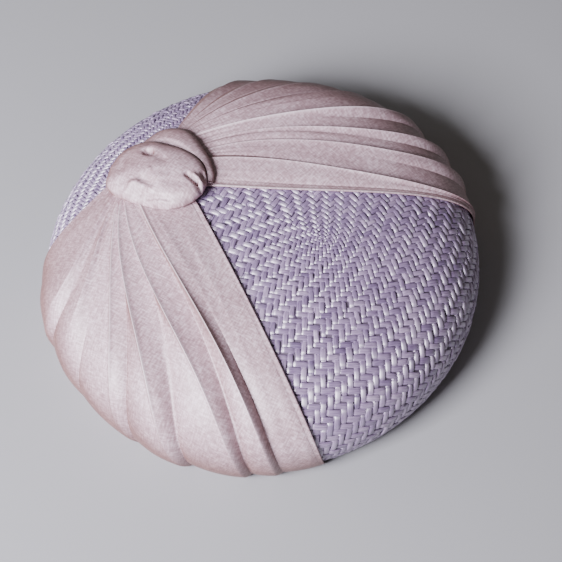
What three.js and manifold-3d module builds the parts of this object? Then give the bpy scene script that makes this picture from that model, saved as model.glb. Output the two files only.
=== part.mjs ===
// A button hat: a domed crown of woven straw, two fans of pleated silk and a silk knot.
// Millimetres, +Z up. The wearer faces -Y, the knot sits towards +Y, and the origin is on
// the surface that the hat rests on, under the middle of its crown.

import * as THREE from 'three';
import { mergeVertices } from 'three/addons/utils/BufferGeometryUtils.js';
import Module from 'manifold-3d';

const wasm = await Module();
wasm.setup();

// Crown of straw
const crownRadius = 92.5; // its widest circle
const crownHeight = 52; // from the resting surface to the top
const widestHeight = 14; // where the side is widest
const rimInset = 3.5; // how far the side rolls in from there down to the rim
const crownFullness = 2.3; // power of the crown's curve, where 2 is an ellipse
const strawWall = 2.1;

// Silk of the fans
const silkWall = 1.0;
const clearance = 0.3; // between any two pieces
const pleatDepth = 2.4; // a full pleat's rise over the flat silk
const gatherDepth = 1.0; // the same where the fans run in under the knot
const foldFlank = 0.55; // height of the silk between two folds, from the lower (0) to the higher (1)
const turnUp = 9; // silk turned up inside the rim
const tuckIn = 6; // silk that runs in under the knot

// Knot
const knotLength = 44; // front to back
const knotWidth = 28; // side to side, without its wrap
const knotRise = 8.6; // its height over its seat
const knotEdge = 0.2; // where its widest ring lies, as a share of that height
const knotRoundness = 0.8; // power of its section, where 1 is an ellipse and less is fuller
const knotFoot = 0.92; // its flat underside, as a share of its outline
const knotBackShare = 0.503; // from the crown's top back to its middle, as a share of crownRadius
const knotToLeft = 8; // from the middle line to its middle
const wrapWidth = 11; // the broadest part of the fold that is wrapped round the knot
const wrapRise = 6.4;
const wrapEdge = 0.3; // height of the wrap's side edges over its flat underside
const wrapTaper = 0.6; // power of a section's size that its height follows
const dimpleDepth = 1.8;
const dimpleRadius = 4;
const dimpleSide = 0.5; // the dimple's place, as shares of half the knot's width and length
const dimpleBack = 0.5;

// Fineness of the faceted surfaces
const outlineSteps = 160;
const rollSteps = 40;
const crownSides = 64;
const crownRings = 20;
const hollowRings = 10;
const fanSteps = 18;
const fanCrowding = 1.35; // power that brings a fan's rows closer together towards the rim
const knotSides = 28;
const knotRings = 6;
const wrapSteps = 18;
const wrapSides = 12;
const mergeDistance = 1e-4;

const strawLook = { color: 0xb7a6c6, roughness: 0.55, metalness: 0 };
const fanLook = { color: 0xcdbcc0, roughness: 0.6, metalness: 0 };
const knotLook = { color: 0xd8cace, roughness: 0.6, metalness: 0 };

const rimLift = silkWall + clearance; // the straw's rim stands on the silk turned under it
const knotSeat = clearance + silkWall + gatherDepth + clearance; // the knot lies on the gathers
const knotFromTop = knotBackShare * crownRadius;

// The fold lines of the right fan, from its front edge to its back edge. A line leaves the
// knot at sideStart and backStart, shares of half the knot's width and length from its middle.
// It runs to rimAngle on the rim, bowed sideways by bow, a share of the crown's radius.
// rise is its height as a share of the full pleat, where it starts, midway and at the rim.
const rightFolds = [
  { sideStart: 0.64, backStart: -0.90, rimAngle: -41, bow: -0.085, rise: [0.0, 0.05, 0.0] },
  { sideStart: 1.10, backStart: -0.74, rimAngle: -39.6, bow: -0.085, rise: [0.3, 0.25, 0.1] },
  { sideStart: 1.60, backStart: -0.62, rimAngle: -38, bow: -0.085, rise: [0.6, 0.55, 0.1] },
  { sideStart: 1.66, backStart: -0.56, rimAngle: -36.6, bow: -0.065, rise: [0.1, 0.0, 0.0] },
  { sideStart: 1.72, backStart: -0.40, rimAngle: -33, bow: 0.045, rise: [0.8, 0.6, 0.1] },
  { sideStart: 1.80, backStart: -0.30, rimAngle: -31, bow: 0.045, rise: [0.1, 0.0, 0.0] },
  { sideStart: 1.92, backStart: -0.08, rimAngle: -25, bow: 0.04, rise: [0.8, 0.8, 0.2] },
  { sideStart: 1.96, backStart: 0.02, rimAngle: -21, bow: 0.03, rise: [0.1, 0.0, 0.0] },
  { sideStart: 2.12, backStart: 0.24, rimAngle: -12, bow: -0.02, rise: [1.0, 1.0, 0.4] },
  { sideStart: 2.14, backStart: 0.32, rimAngle: -7, bow: -0.02, rise: [0.1, 0.05, 0.0] },
  { sideStart: 2.18, backStart: 0.40, rimAngle: 5, bow: -0.02, rise: [0.8, 0.8, 0.4] },
  { sideStart: 2.20, backStart: 0.46, rimAngle: 10, bow: -0.02, rise: [0.1, 0.05, 0.0] },
  { sideStart: 2.24, backStart: 0.53, rimAngle: 22, bow: 0.0, rise: [0.9, 0.9, 0.5] },
  { sideStart: 2.24, backStart: 0.59, rimAngle: 26, bow: 0.0, rise: [0.1, 0.1, 0.0] },
  { sideStart: 2.22, backStart: 0.65, rimAngle: 35, bow: 0.03, rise: [0.6, 0.6, 0.2] },
  { sideStart: 2.14, backStart: 0.70, rimAngle: 42, bow: 0.04, rise: [0.0, 0.05, 0.0] },
];

// The same for the left fan, from its back edge to its front edge.
const leftFolds = [
  { sideStart: -0.68, backStart: 0.90, rimAngle: 126.5, bow: 0.04, rise: [0.0, 0.05, 0.0] },
  { sideStart: -0.95, backStart: 0.74, rimAngle: 136, bow: 0.03, rise: [0.1, 0.1, 0.0] },
  { sideStart: -1.12, backStart: 0.60, rimAngle: 146, bow: 0.02, rise: [0.8, 0.8, 0.3] },
  { sideStart: -1.17, backStart: 0.53, rimAngle: 153, bow: 0.0, rise: [0.1, 0.1, 0.0] },
  { sideStart: -1.22, backStart: 0.46, rimAngle: 162, bow: 0.0, rise: [0.7, 0.7, 0.3] },
  { sideStart: -1.25, backStart: 0.39, rimAngle: 171, bow: 0.0, rise: [0.1, 0.1, 0.0] },
  { sideStart: -1.27, backStart: 0.32, rimAngle: 182, bow: 0.0, rise: [0.9, 0.8, 0.3] },
  { sideStart: -1.27, backStart: 0.25, rimAngle: 189, bow: 0.0, rise: [0.1, 0.1, 0.0] },
  { sideStart: -1.26, backStart: 0.18, rimAngle: 197, bow: 0.0, rise: [1.0, 1.0, 0.5] },
  { sideStart: -1.23, backStart: 0.11, rimAngle: 202, bow: 0.02, rise: [0.1, 0.0, 0.0] },
  { sideStart: -1.18, backStart: 0.04, rimAngle: 212, bow: 0.05, rise: [1.0, 0.9, 0.4] },
  { sideStart: -1.13, backStart: -0.05, rimAngle: 215, bow: 0.04, rise: [0.1, 0.0, 0.0] },
  { sideStart: -1.06, backStart: -0.15, rimAngle: 222, bow: 0.02, rise: [0.9, 0.8, 0.2] },
  { sideStart: -0.98, backStart: -0.25, rimAngle: 224.5, bow: 0.01, rise: [0.1, 0.0, 0.0] },
  { sideStart: -0.55, backStart: -0.62, rimAngle: 229, bow: 0.0, rise: [0.1, 0.25, 0.1] },
  { sideStart: 0.00, backStart: -0.96, rimAngle: 233, bow: 0.0, rise: [0.0, 0.05, 0.0] },
];

// The knot's outline round its middle: reach as a share of half its length in each direction.
const knotOutline = [
  { angle: 0, reach: 0.64 },
  { angle: 48, reach: 0.80 },
  { angle: 80, reach: 0.98 },
  { angle: 100, reach: 0.93 },
  { angle: 131, reach: 0.97 },
  { angle: 146, reach: 0.80 },
  { angle: 170, reach: 0.60 },
  { angle: 214, reach: 0.58 },
  { angle: 248, reach: 0.84 },
  { angle: 272, reach: 0.99 },
  { angle: 290, reach: 1.00 },
  { angle: 315, reach: 0.78 },
  { angle: 338, reach: 0.66 },
  { angle: 360, reach: 0.64 },
];

// The middle line of the wrap, from the knot's back to its front tip, as shares of half the
// knot's width and length from its middle, with the wrap's size there as a share of its fullest.
const wrapCourse = [
  { side: 0.30, back: 0.97, size: 0.22 },
  { side: 0.85, back: 0.84, size: 0.66 },
  { side: 1.26, back: 0.52, size: 0.96 },
  { side: 1.38, back: 0.10, size: 1.0 },
  { side: 1.24, back: -0.34, size: 0.86 },
  { side: 1.00, back: -0.68, size: 0.60 },
  { side: 0.72, back: -0.93, size: 0.24 },
];

const turn = THREE.MathUtils.degToRad;
const mix = THREE.MathUtils.lerp;
const ease = (share) => THREE.MathUtils.smoothstep(share, 0, 1);

// The crown's outline from the top to the rim: a power curve down to the widest circle, and
// below it an arc that rolls in. Each point holds its length along the outline and its normal.
function crownOutline() {
  const points = [];
  for (let i = 0; i <= outlineSteps; i++) {
    const angle = (i / outlineSteps) * Math.PI / 2;
    const r = crownRadius * Math.sin(angle) ** (2 / crownFullness);
    const z = mix(widestHeight, crownHeight, Math.cos(angle) ** (2 / crownFullness));
    points.push(new THREE.Vector2(r, z));
  }
  for (let i = 1; i <= rollSteps; i++) {
    const fall = i / rollSteps;
    points.push(new THREE.Vector2(crownRadius - rimInset * fall ** 2, mix(widestHeight, rimLift, fall)));
  }
  let length = 0;
  return points.map((point, i) => {
    const before = points[Math.max(i - 1, 0)];
    const after = points[Math.min(i + 1, points.length - 1)];
    const along = after.clone().sub(before).normalize();
    length += point.distanceTo(before);
    return { length, r: point.x, z: point.y, out: i === 0 ? 0 : -along.y, up: i === 0 ? 1 : along.x };
  });
}

const outline = crownOutline();
const rimLength = outline.at(-1).length;

// The outline's point at a length from the top, lifted off the straw along its normal.
function outlineAt(length, lift) {
  const next = Math.max(1, outline.findIndex((point) => point.length >= Math.min(length, rimLength)));
  const [a, b] = [outline[next - 1], outline[next]];
  const share = Math.min((length - a.length) / (b.length - a.length), 1);
  const out = mix(a.out, b.out, share);
  const up = mix(a.up, b.up, share);
  return new THREE.Vector2(mix(a.r, b.r, share) + out * lift, mix(a.z, b.z, share) + up * lift);
}

function turned(section, angle) {
  return new THREE.Vector3(section.x * Math.cos(angle), section.x * Math.sin(angle), section.y);
}

// A place on the flattened crown, where the distance from the top is the length along the
// surface, put back on the crown and lifted off it.
function onCrown(place, lift) {
  return turned(outlineAt(place.length(), lift), place.angle());
}

function meshFrom(points, faces) {
  const geometry = new THREE.BufferGeometry();
  geometry.setAttribute('position', new THREE.Float32BufferAttribute(points.flatMap((p) => p.toArray()), 3));
  geometry.setIndex(faces);
  geometry.computeVertexNormals();
  return geometry;
}

// A closed solid between two grids of points, [row][column]: both skins and the wall round them.
function solidBetween(upper, lower) {
  const rows = upper.length;
  const columns = upper[0].length;
  const under = rows * columns;
  const at = (row, column) => row * columns + column;
  const faces = [];
  const quad = (a, b, c, d) => faces.push(a, b, c, a, c, d);
  for (let row = 0; row < rows - 1; row++) {
    for (let column = 0; column < columns - 1; column++) {
      const [a, b] = [at(row, column), at(row + 1, column)];
      const [c, d] = [at(row + 1, column + 1), at(row, column + 1)];
      quad(a, b, c, d);
      quad(d + under, c + under, b + under, a + under);
    }
  }
  const edge = [];
  for (let row = 0; row < rows - 1; row++) edge.push(at(row, 0));
  for (let column = 0; column < columns - 1; column++) edge.push(at(rows - 1, column));
  for (let row = rows - 1; row > 0; row--) edge.push(at(row, columns - 1));
  for (let column = columns - 1; column > 0; column--) edge.push(at(0, column));
  edge.forEach((a, i) => {
    const b = edge[(i + 1) % edge.length];
    quad(b, a, a + under, b + under);
  });
  return meshFrom([...upper.flat(), ...lower.flat()], faces);
}

function asManifold(geometry) {
  const bare = geometry.clone();
  bare.deleteAttribute('normal');
  bare.deleteAttribute('uv');
  const merged = mergeVertices(bare, mergeDistance);
  return new wasm.Manifold(new wasm.Mesh({
    numProp: 3,
    vertProperties: new Float32Array(merged.attributes.position.array),
    triVerts: new Uint32Array(merged.index.array),
  }));
}

function fromManifold(solid) {
  const { vertProperties, triVerts } = solid.getMesh();
  const geometry = new THREE.BufferGeometry();
  geometry.setAttribute('position', new THREE.BufferAttribute(vertProperties, 3));
  geometry.setIndex(new THREE.BufferAttribute(triVerts, 1));
  geometry.computeVertexNormals();
  return geometry;
}

function piece(name, geometry, look) {
  const mesh = new THREE.Mesh(geometry, new THREE.MeshStandardMaterial(look));
  mesh.name = name;
  return mesh;
}

// Rings take the outline's own points, which lie closer together down the side.
function ringLength(share) {
  return outline[Math.round(share * (outline.length - 1))].length;
}

// The horizontal thickness of a layer that is measured square to the wall at the rim.
function levelThickness(thickness) {
  return thickness / outline.at(-1).out;
}

function strawCrown() {
  const section = [];
  for (let i = 0; i <= hollowRings; i++) {
    const point = outlineAt(ringLength(i / hollowRings), -strawWall);
    if (point.y > rimLift + strawWall || i === 0) section.push(point);
  }
  const rim = outlineAt(rimLength, 0);
  section.push(new THREE.Vector2(rim.x - levelThickness(strawWall), rim.y));
  for (let i = crownRings; i >= 0; i--) section.push(outlineAt(ringLength(i / crownRings), 0));
  section[0].x = 0;
  section.at(-1).x = 0;
  const geometry = new THREE.LatheGeometry(section, crownSides);
  geometry.rotateX(Math.PI / 2);
  return piece('straw_crown', geometry, strawLook);
}

// A fold line's place on the flattened crown, from the knot (0) to the rim (1).
function foldPlace(fold, share) {
  const start = knotPlace(fold.sideStart, fold.backStart);
  const end = new THREE.Vector2(rimLength, 0).rotateAround(new THREE.Vector2(), turn(fold.rimAngle));
  const bowed = 4 * share * (1 - share) * fold.bow * crownRadius;
  const side = end.clone().sub(start).normalize().rotateAround(new THREE.Vector2(), Math.PI / 2);
  return start.lerp(end, share).addScaledVector(side, bowed);
}

function knotPlace(side, back) {
  return new THREE.Vector2(side * knotWidth / 2 - knotToLeft, back * knotLength / 2 + knotFromTop);
}

// A fold line's height over flat silk, eased from its start over its middle to the rim.
function foldRise(fold, share) {
  const [start, middle, rim] = fold.rise;
  return share < 0.5
    ? mix(start * gatherDepth, middle * pleatDepth, ease(share * 2))
    : mix(middle * pleatDepth, rim * pleatDepth, ease(share * 2 - 1));
}

// Halfway between two neighbouring folds, a line that carries the silk from one to the other.
function between(a, b) {
  const half = (key) => (a[key] + b[key]) / 2;
  return {
    sideStart: half('sideStart'),
    backStart: half('backStart'),
    rimAngle: half('rimAngle'),
    bow: half('bow'),
    rise: a.rise.map((rise, i) => mix(Math.min(rise, b.rise[i]), Math.max(rise, b.rise[i]), foldFlank)),
  };
}

// A silk fan: down the crown from under the knot, round the rim, and up inside it.
function silkFan(name, folds) {
  const lines = folds.flatMap((fold, i) => (i ? [between(folds[i - 1], fold), fold] : [fold]));
  const near = [];
  const far = [];
  const addRow = (placeNear, placeFar) => {
    near.push(lines.map(placeNear));
    far.push(lines.map(placeFar));
  };
  const middle = knotPlace(0, 0);
  const tucked = (fold) => {
    const start = foldPlace(fold, 0);
    return start.addScaledVector(middle.clone().sub(start).normalize(), tuckIn);
  };
  addRow((fold) => onCrown(tucked(fold), clearance), (fold) => onCrown(tucked(fold), clearance + silkWall));
  for (let i = 0; i <= fanSteps; i++) {
    const share = 1 - (1 - i / fanSteps) ** fanCrowding;
    const lift = (fold) => clearance + foldRise(fold, share);
    addRow(
      (fold) => onCrown(foldPlace(fold, share), lift(fold)),
      (fold) => onCrown(foldPlace(fold, share), lift(fold) + silkWall),
    );
  }
  for (const [inner, outer] of rimSections()) {
    addRow((fold) => turned(inner, turn(fold.rimAngle)), (fold) => turned(outer, turn(fold.rimAngle)));
  }
  return piece(name, solidBetween(far, near), fanLook);
}

// The silk's section round the straw's rim: pairs of points next to the straw and away from it.
function rimSections() {
  const rim = outlineAt(rimLength, 0);
  const hollow = rim.x - levelThickness(strawWall);
  const point = (r, z) => new THREE.Vector2(r, z);
  const inside = (rise, thickness) => {
    const wall = outlineAt(rimLength - rise, 0).x - levelThickness(strawWall);
    return point(wall - levelThickness(thickness), rimLift + rise);
  };
  return [
    [point(rim.x, silkWall), point(rim.x + silkWall / 2, 0)],
    [point(hollow, silkWall), point(hollow - silkWall / 2, 0)],
    [inside(0, clearance), point(inside(0, clearance + silkWall).x, silkWall)],
    [inside(turnUp / 2, clearance), inside(turnUp / 2, clearance + silkWall)],
    [inside(turnUp, clearance), inside(turnUp, clearance + silkWall)],
  ];
}

function knotReach(angle) {
  const next = Math.max(1, knotOutline.findIndex((row) => row.angle >= angle));
  const [a, b] = [knotOutline[next - 1], knotOutline[next]];
  const share = (angle - a.angle) / (b.angle - a.angle);
  return mix(a.reach, b.reach, ease(share)) * knotLength / 2;
}

// The knot's body: rings round its middle on the flattened crown. They dome over the widest
// ring, which lies a little above the seat, and close flat below it. grow makes the body
// larger all round, for a neighbour that is cut to fit it.
function knotBody(grow = 0) {
  const middle = knotPlace(0, 0);
  const dimple = knotPlace(dimpleSide, dimpleBack);
  const ringPoint = (angle, spread, lift) => {
    const spoke = new THREE.Vector2((knotReach(angle) + grow) * spread, 0);
    const place = spoke.rotateAround(new THREE.Vector2(), turn(angle)).add(middle);
    const dent = dimpleDepth * Math.exp(-((place.distanceTo(dimple) / dimpleRadius) ** 2));
    return onCrown(place, knotSeat + lift - (lift > knotEdge * knotRise ? dent : 0));
  };
  const edgeLift = knotEdge * knotRise;
  const points = [onCrown(middle, knotSeat - grow), ringPoint(0, 0, knotRise + grow)];
  const faces = [];
  const rings = [];
  for (let i = 1; i <= knotRings; i++) {
    const fall = (i / knotRings) * Math.PI / 2;
    const lift = mix(edgeLift, knotRise + grow, Math.cos(fall) ** knotRoundness);
    rings.push({ spread: Math.sin(fall) ** knotRoundness, lift });
  }
  rings.push({ spread: knotFoot, lift: -grow });
  for (const { spread, lift } of rings) {
    for (let side = 0; side < knotSides; side++) {
      points.push(ringPoint((side * 360) / knotSides, spread, lift));
    }
  }
  const at = (ring, side) => 2 + ring * knotSides + (side % knotSides);
  const last = rings.length - 1;
  for (let side = 0; side < knotSides; side++) {
    faces.push(1, at(0, side), at(0, side + 1), 0, at(last, side + 1), at(last, side));
    for (let ring = 0; ring < last; ring++) {
      const [a, b] = [at(ring, side), at(ring, side + 1)];
      const [c, d] = [at(ring + 1, side + 1), at(ring + 1, side)];
      faces.push(a, d, c, a, c, b);
    }
  }
  return meshFrom(points, faces);
}

// The fold wrapped round the knot: a tapering roll, flat below where it lies on the right fan,
// and hollowed to fit the knot's body.
function knotWrap() {
  const course = new THREE.CatmullRomCurve3(
    wrapCourse.map((row) => new THREE.Vector3(...knotPlace(row.side, row.back).toArray(), row.size)),
  );
  const points = [];
  for (let step = 0; step <= wrapSteps; step++) {
    const share = step / wrapSteps;
    const centre = course.getPoint(share);
    const along = course.getTangent(share);
    const across = new THREE.Vector2(-along.y, along.x).normalize();
    for (let side = 0; side < wrapSides; side++) {
      const angle = (side * 2 * Math.PI) / wrapSides;
      const place = new THREE.Vector2(centre.x, centre.y);
      place.addScaledVector(across, (Math.cos(angle) * centre.z * wrapWidth) / 2);
      const lift = wrapEdge + Math.max(Math.sin(angle), 0) * wrapRise * centre.z ** wrapTaper;
      points.push(onCrown(place, knotSeat + (side > wrapSides / 2 ? 0 : lift)));
    }
  }
  const at = (step, side) => step * wrapSides + (side % wrapSides);
  const faces = [];
  for (let side = 0; side < wrapSides; side++) {
    for (let step = 0; step < wrapSteps; step++) {
      const [a, b] = [at(step, side), at(step, side + 1)];
      const [c, d] = [at(step + 1, side + 1), at(step + 1, side)];
      faces.push(a, b, c, a, c, d);
    }
    if (side > 0 && side < wrapSides - 1) {
      faces.push(at(0, 0), at(0, side + 1), at(0, side));
      faces.push(at(wrapSteps, 0), at(wrapSteps, side), at(wrapSteps, side + 1));
    }
  }
  const roll = asManifold(meshFrom(points, faces));
  return roll.subtract(asManifold(knotBody(clearance)));
}

const hat = new THREE.Group();
hat.add(strawCrown());
hat.add(silkFan('silk_fan_right', rightFolds));
hat.add(silkFan('silk_fan_left', leftFolds));
hat.add(piece('silk_knot', knotBody(), knotLook));
hat.add(piece('knot_wrap', fromManifold(knotWrap()), knotLook));

export default hat;
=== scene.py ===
# %% [markdown]
# # A button hat of woven straw and pleated silk
# A button hat is a shallow dome that is blocked over a wooden form. This one is woven from
# dyed straw, and two fans of pleated silk run from a knot at the back of its crown to the rim.
# The frame holds the hat's solids at their real size, so every piece below takes its size and
# place from it. All the shapes are worked out in millimetres and put into metres at the end.

# %% Load the frame and keep its box
import bpy
import numpy as np
from mathutils import Matrix, Vector


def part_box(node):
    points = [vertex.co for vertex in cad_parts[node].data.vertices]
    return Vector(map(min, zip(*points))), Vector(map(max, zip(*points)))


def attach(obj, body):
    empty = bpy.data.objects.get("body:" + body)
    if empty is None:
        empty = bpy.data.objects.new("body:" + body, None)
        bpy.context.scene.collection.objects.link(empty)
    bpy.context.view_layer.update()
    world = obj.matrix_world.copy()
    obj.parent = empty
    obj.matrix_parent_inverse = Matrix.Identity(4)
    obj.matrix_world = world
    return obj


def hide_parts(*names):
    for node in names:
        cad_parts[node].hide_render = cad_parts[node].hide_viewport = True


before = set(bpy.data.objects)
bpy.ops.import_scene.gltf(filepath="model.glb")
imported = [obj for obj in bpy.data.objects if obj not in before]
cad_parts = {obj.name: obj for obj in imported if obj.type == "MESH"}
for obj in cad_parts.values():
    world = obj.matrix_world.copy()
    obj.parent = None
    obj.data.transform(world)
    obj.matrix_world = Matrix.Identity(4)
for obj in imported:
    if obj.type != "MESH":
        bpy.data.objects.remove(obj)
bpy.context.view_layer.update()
MM = 0.001
print("frame:", sorted(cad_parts))

# %% [markdown]
# ## The camera
# The hat is looked at from 57 degrees above its rim, from the front and a little to one side,
# by a long lens. It leans a little to the left in the picture, so the camera is rolled. The
# aim is a real point of the hat, and the picture's middle lies a little past it.

# %% Camera at the viewing angle
PICTURE_SIDE = 562  # pixels
SENSOR_SIDE = 36.0  # millimetres
FOCAL_PIXELS = 1539.0
AIM = np.array([0.0, 0.0, 25.0])
AIM_PIXEL = (260.4, 253.4)
CAMERA_DISTANCE = 650.0
CAMERA_AZIMUTH = -47.0
CAMERA_ELEVATION = 57.1
CAMERA_ROLL = 6.6


def unit(vector):
    return vector / np.linalg.norm(vector)


def camera_axes(azimuth, elevation, roll):
    """The camera's right, up and backward directions. Backward points from the aim to the
    camera, and the roll tips the hat's own axis to the left in the picture."""
    a, e, r = np.radians([azimuth, elevation, roll])
    backward = np.array([np.sin(a) * np.cos(e), -np.cos(a) * np.cos(e), np.sin(e)])
    level = np.array([np.cos(a), np.sin(a), 0.0])
    above = np.cross(backward, level)
    right = np.cos(r) * level - np.sin(r) * above
    up = np.sin(r) * level + np.cos(r) * above
    return right, up, backward


def add_camera():
    right, up, backward = camera_axes(CAMERA_AZIMUTH, CAMERA_ELEVATION, CAMERA_ROLL)
    place = AIM + backward * CAMERA_DISTANCE
    past_aim = (PICTURE_SIDE / 2 - np.array(AIM_PIXEL)) / FOCAL_PIXELS
    look = unit(-backward + right * past_aim[0] - up * past_aim[1])
    side = unit(np.cross(look, up))
    axes = Matrix(np.array([side, np.cross(side, look), -look]).T.tolist())
    data = bpy.data.cameras.new("camera")
    data.sensor_width = SENSOR_SIDE
    data.lens = FOCAL_PIXELS * SENSOR_SIDE / PICTURE_SIDE
    data.clip_start, data.clip_end = 0.01, 20.0
    camera = bpy.data.objects.new("camera", data)
    camera.matrix_world = Matrix.Translation(Vector(place * MM)) @ axes.to_4x4()
    bpy.context.scene.collection.objects.link(camera)
    bpy.context.scene.camera = camera
    print("camera:", np.round(place).tolist(), "mm, lens", round(data.lens, 1), "mm")


add_camera()

# %% [markdown]
# ## The crown's outline
# A blocked crown is a surface of revolution, so one outline holds it. The outline runs from
# the top over the shoulder to the widest circle, rolls in to the rim, and turns round the
# rim's edge, where the straw is folded under. Every piece of the hat lies on this surface,
# so each point of it is given by its place on a flattened crown, where the distance from the
# top is the length along the surface, and by its lift off the straw.

# %% Outline and the map from the flattened crown to the hat
straw_low, straw_high = (np.array(corner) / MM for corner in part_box("straw_crown"))
CROWN_RADIUS = straw_high[0]
CROWN_HEIGHT = straw_high[2]
RIM_HEIGHT = straw_low[2]
WIDEST_HEIGHT = 14.0
RIM_INSET = 3.5
CROWN_FULLNESS = 2.3
STRAW_WALL = 2.1
SILK_WALL = 1.0
CLEARANCE = 0.3
ROLL_RADIUS = STRAW_WALL / 2
ROLL_END = -185.0  # degrees, where the folded edge meets the inside
DOME_STEPS = 600
FALL_STEPS = 80
ROLL_STEPS = 60


def crown_outline():
    """A power curve from the top to the widest circle, a parabola that rolls in to the rim,
    and an arc round the folded edge. Returns length, radius, height and normal, one row each,
    and the length at the rim."""
    angle = np.linspace(0, np.pi / 2, DOME_STEPS)
    radius = CROWN_RADIUS * np.sin(angle) ** (2 / CROWN_FULLNESS)
    height = WIDEST_HEIGHT + (CROWN_HEIGHT - WIDEST_HEIGHT) * np.cos(angle) ** (2 / CROWN_FULLNESS)
    fall = np.linspace(0, 1, FALL_STEPS)[1:]
    radius = np.append(radius, CROWN_RADIUS - RIM_INSET * fall**2)
    height = np.append(height, WIDEST_HEIGHT + (RIM_HEIGHT - WIDEST_HEIGHT) * fall)
    rim_index = len(radius) - 1
    tangent = unit(np.array([radius[-1] - radius[-2], height[-1] - height[-2]]))
    start = np.arctan2(tangent[0], -tangent[1])
    arc = np.linspace(start, np.radians(ROLL_END), ROLL_STEPS)
    middle_r = radius[-1] - ROLL_RADIUS * np.cos(start)
    middle_z = height[-1] - ROLL_RADIUS * np.sin(start)
    radius = np.append(radius, middle_r + ROLL_RADIUS * np.cos(arc[1:]))
    height = np.append(height, middle_z + ROLL_RADIUS * np.sin(arc[1:]))
    length = np.append(0, np.cumsum(np.hypot(np.diff(radius), np.diff(height))))
    along_r, along_z = np.gradient(radius), np.gradient(height)
    steps = np.hypot(along_r, along_z)
    out, up = -along_z / steps, along_r / steps
    out[0], up[0] = 0.0, 1.0
    return np.array([length, radius, height, out, up]), length[rim_index]


OUTLINE, RIM_LENGTH = crown_outline()


def section_at(length, lift):
    """Radius and height of the outline at a length, moved along its normal by the lift."""
    at = [np.interp(length, OUTLINE[0], row) for row in OUTLINE[1:]]
    return at[0] + at[2] * lift, at[1] + at[3] * lift


def turned(radius, height, angle):
    """Points at a radius, a height and an angle round the crown's axis."""
    return np.stack([radius * np.cos(angle), radius * np.sin(angle), height + 0 * angle], -1)


def on_crown(x, y, lift):
    """Points of the hat for places x, y on the flattened crown, lifted off the straw."""
    radius, height = section_at(np.hypot(x, y), lift)
    return turned(radius, height, np.arctan2(y, x))


print("outline: rim at", round(RIM_LENGTH, 1), "mm from the top along the straw")

# %% [markdown]
# ## Making a mesh from arrays
# Each surface below is one array of points and a few arrays of faces. A closed strip, such as
# a sheet of cloth with its two skins, is a grid whose columns go once round its section. The
# points of a dome that closes in one point keep that point after their grid.

# %% Mesh helpers


def add_piece(name, points, face_sets, material, uv=None, tone=None):
    """A mesh object in metres from points in millimetres and arrays of faces that point out.
    uv holds one pair for each point, and tone one number, kept as the attribute tone."""
    mesh = bpy.data.meshes.new(name)
    faces = [face for faces in face_sets for face in faces.tolist()]
    mesh.from_pydata((points * MM).tolist(), [], faces)
    mesh.polygons.foreach_set("use_smooth", np.ones(len(mesh.polygons), bool))
    if uv is not None:
        corners = np.zeros(len(mesh.loops), np.int32)
        mesh.loops.foreach_get("vertex_index", corners)
        layer = mesh.uv_layers.new(name="cloth")
        layer.data.foreach_set("uv", uv[corners].astype(np.float32).ravel())
    if tone is not None:
        attribute = mesh.attributes.new("tone", "FLOAT", "POINT")
        attribute.data.foreach_set("value", tone.astype(np.float32))
    mesh.materials.append(material)
    mesh.validate()
    piece = bpy.data.objects.new(name, mesh)
    bpy.context.scene.collection.objects.link(piece)
    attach(piece, "root")
    triangles = sum(len(face) - 2 for face in faces)
    print(f"{name}: {len(points)} points, {triangles} triangles")
    return piece


def grid_faces(rows, columns):
    """Four-cornered faces of a grid of rows and columns, whose last column meets its first."""
    row, column = np.meshgrid(np.arange(rows - 1), np.arange(columns), indexing="ij")
    beside = (column + 1) % columns
    corners = [row * columns + column, (row + 1) * columns + column]
    corners += [(row + 1) * columns + beside, row * columns + beside]
    return np.stack(corners, -1).reshape(-1, 4)


def end_points(rows, columns):
    """Triangles that close a grid's first row with the first point after it, and its last row
    with the second."""
    k = np.arange(columns)
    beside = (k + 1) % columns
    first_end, last = rows * columns, (rows - 1) * columns
    first_cap = np.stack([np.full(columns, first_end), k, beside], -1)
    last_cap = np.stack([np.full(columns, first_end + 1), last + beside, last + k], -1)
    return [first_cap, last_cap]


def volume_of(points, face_sets):
    """Six times the volume inside the faces, each cut into triangles from its first corner."""
    total = 0.0
    for faces in face_sets:
        for k in range(1, faces.shape[1] - 1):
            a, b, c = points[faces[:, 0]], points[faces[:, k]], points[faces[:, k + 1]]
            total += (a * np.cross(b, c)).sum()
    return total


def outward(points, face_sets):
    """The same faces, turned round if together they point inwards."""
    if volume_of(points, face_sets) > 0:
        return face_sets
    return [faces[:, ::-1] for faces in face_sets]


# %% [markdown]
# Cloth and handwork are never quite even, and never change suddenly. Three small functions
# serve for that: a smooth curve through a few values, an easy step from 0 to 1, and seeded
# noise, which is the same each time the script runs.

# %% Curves and noise
NOISE_CELLS = 64  # random numbers along each side of the noise's table


def smooth_curve(at, stations, values):
    """A smooth curve through the values at the stations: a cubic between each pair, whose
    slope at a station is that of the chord over its neighbours. values holds a curve in each
    row, and the answer a row for each place in at."""
    values = np.atleast_2d(values)
    slopes = np.gradient(values, stations, axis=1)
    k = np.clip(np.searchsorted(stations, at, side="right") - 1, 0, len(stations) - 2)
    width = stations[k + 1] - stations[k]
    t = (at - stations[k]) / width
    value = values[:, k] * (2 * t**3 - 3 * t**2 + 1) + values[:, k + 1] * (3 * t**2 - 2 * t**3)
    value = value + slopes[:, k] * width * (t**3 - 2 * t**2 + t)
    return (value + slopes[:, k + 1] * width * (t**3 - t**2)).T


def ease(t):
    """Goes from 0 to 1 as t does, level at both ends."""
    t = np.clip(t, 0, 1)
    return t * t * (3 - 2 * t)


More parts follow.
